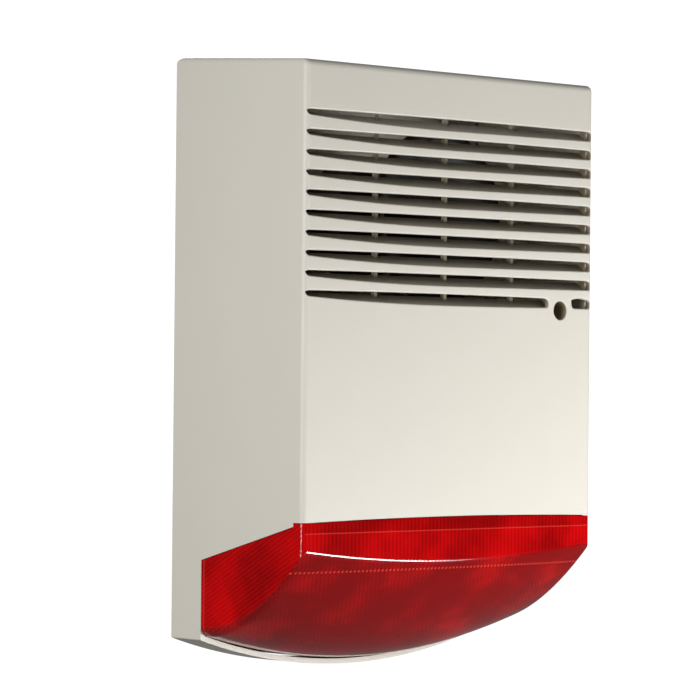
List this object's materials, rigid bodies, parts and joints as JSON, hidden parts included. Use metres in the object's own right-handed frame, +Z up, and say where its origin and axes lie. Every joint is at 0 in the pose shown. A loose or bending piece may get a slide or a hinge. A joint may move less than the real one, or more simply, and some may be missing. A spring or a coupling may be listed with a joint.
{
  "type": "wall mounted alarm siren with strobe",
  "caption": "Outdoor burglar alarm siren: louvred plastic cover that swings up on a hinged back plate, horn driver, backup battery, control board and flash tube behind a red wrap-around lens.",
  "frame": {"origin": "middle of the back plate's wall face, at half the height of the siren", "axes": "+Z up, +Y into the wall, the front faces -Y, +X to the right seen from the front"},
  "size_m": [0.2, 0.095, 0.3006],
  "materials": {
    "cover_abs": "moulded, fine texture",
    "plate_abs": "moulded, fine texture",
    "lens_red": "clear-moulded, prismatic",
    "zinc_steel": "zinc plated",
    "rubber": "moulded",
    "horn_abs": "moulded",
    "ferrite": "sintered",
    "copper": "enamelled wire",
    "film": "thin film",
    "board": "solder mask",
    "black_plastic": "moulded",
    "terminal_green": "moulded",
    "relay_blue": "moulded",
    "coil_tape": "wrapped tape",
    "battery_case": "moulded",
    "reflector": "bright anodised",
    "tube_glass": "clear",
    "lead_red": "extruded",
    "lead_black": "extruded",
    "white_plastic": "moulded"
  },
  "bodies": {
    "base": {"back_plate": "plate_abs", "hinge_pin_left": "zinc_steel", "hinge_pin_right": "zinc_steel", "cable_grommet": "rubber", "horn_flare": "horn_abs", "driver_housing": "black_plastic", "driver_yoke": "zinc_steel", "driver_magnet": "ferrite", "driver_top_plate": "zinc_steel", "voice_coil": "copper", "diaphragm": "film", "horn_bracket": "zinc_steel", "bracket_screw_1": "zinc_steel", "bracket_screw_2": "zinc_steel", "driver_nut": "zinc_steel", "main_board": "board", "board_screw_1": "zinc_steel", "board_screw_2": "zinc_steel", "board_screw_3": "zinc_steel", "board_screw_4": "zinc_steel", "terminal_block": "terminal_green", "relay": "relay_blue", "reservoir_capacitor": "black_plastic", "step_up_transformer": "coil_tape", "control_chip": "black_plastic", "jumper_header": "black_plastic", "strobe_socket": "white_plastic", "front_tamper_switch": "black_plastic", "front_tamper_spring": "zinc_steel", "wall_tamper_switch": "black_plastic", "wall_tamper_spring": "zinc_steel", "battery": "battery_case", "battery_tab_positive": "zinc_steel", "battery_tab_negative": "zinc_steel", "battery_strap": "zinc_steel", "strap_screw_1": "zinc_steel", "strap_screw_2": "zinc_steel", "strobe_board": "board", "strobe_screw_1": "zinc_steel", "strobe_screw_2": "zinc_steel", "strobe_reflector": "reflector", "xenon_tube": "tube_glass", "tube_clip_left": "white_plastic", "tube_clip_right": "white_plastic", "strobe_plug": "white_plastic", "horn_lead_red": "lead_red", "horn_lead_black": "lead_black", "battery_lead_red": "lead_red", "battery_lead_black": "lead_black", "strobe_lead": "lead_black"},
    "cover": {"front_cover": "cover_abs", "strobe_lens": "lens_red", "lens_screw_1": "zinc_steel", "lens_screw_2": "zinc_steel", "lens_screw_3": "zinc_steel"},
    "locking_screw": {"locking_screw": "zinc_steel"},
    "front_plunger": {"front_tamper_plunger": "white_plastic"},
    "wall_plunger": {"wall_tamper_plunger": "white_plastic"}
  },
  "joints": [
    {"name": "cover_hinge", "type": "hinge", "parent": "base", "child": "cover", "pos_m": [0, -0.0057, 0.14496], "axis": [-1, 0, 0], "range_deg": [0, 80]},
    {"name": "cover_screw_turn", "type": "hinge", "parent": "cover", "child": "locking_screw", "pos_m": [0.0763, -0.055, 0.02894], "axis": [0, -1, 0], "continuous": true},
    {"name": "front_tamper_travel", "type": "slide", "parent": "base", "child": "front_plunger", "axis": [0, -1, 0], "range_m": [0, 0.003]},
    {"name": "wall_tamper_travel", "type": "slide", "parent": "base", "child": "wall_plunger", "axis": [0, 1, 0], "range_m": [0, 0.003]}
  ],
  "couplings": [
    {"joint": "front_tamper_travel", "follows": "cover_hinge", "m_per_rad": 0.00214}
  ]
}
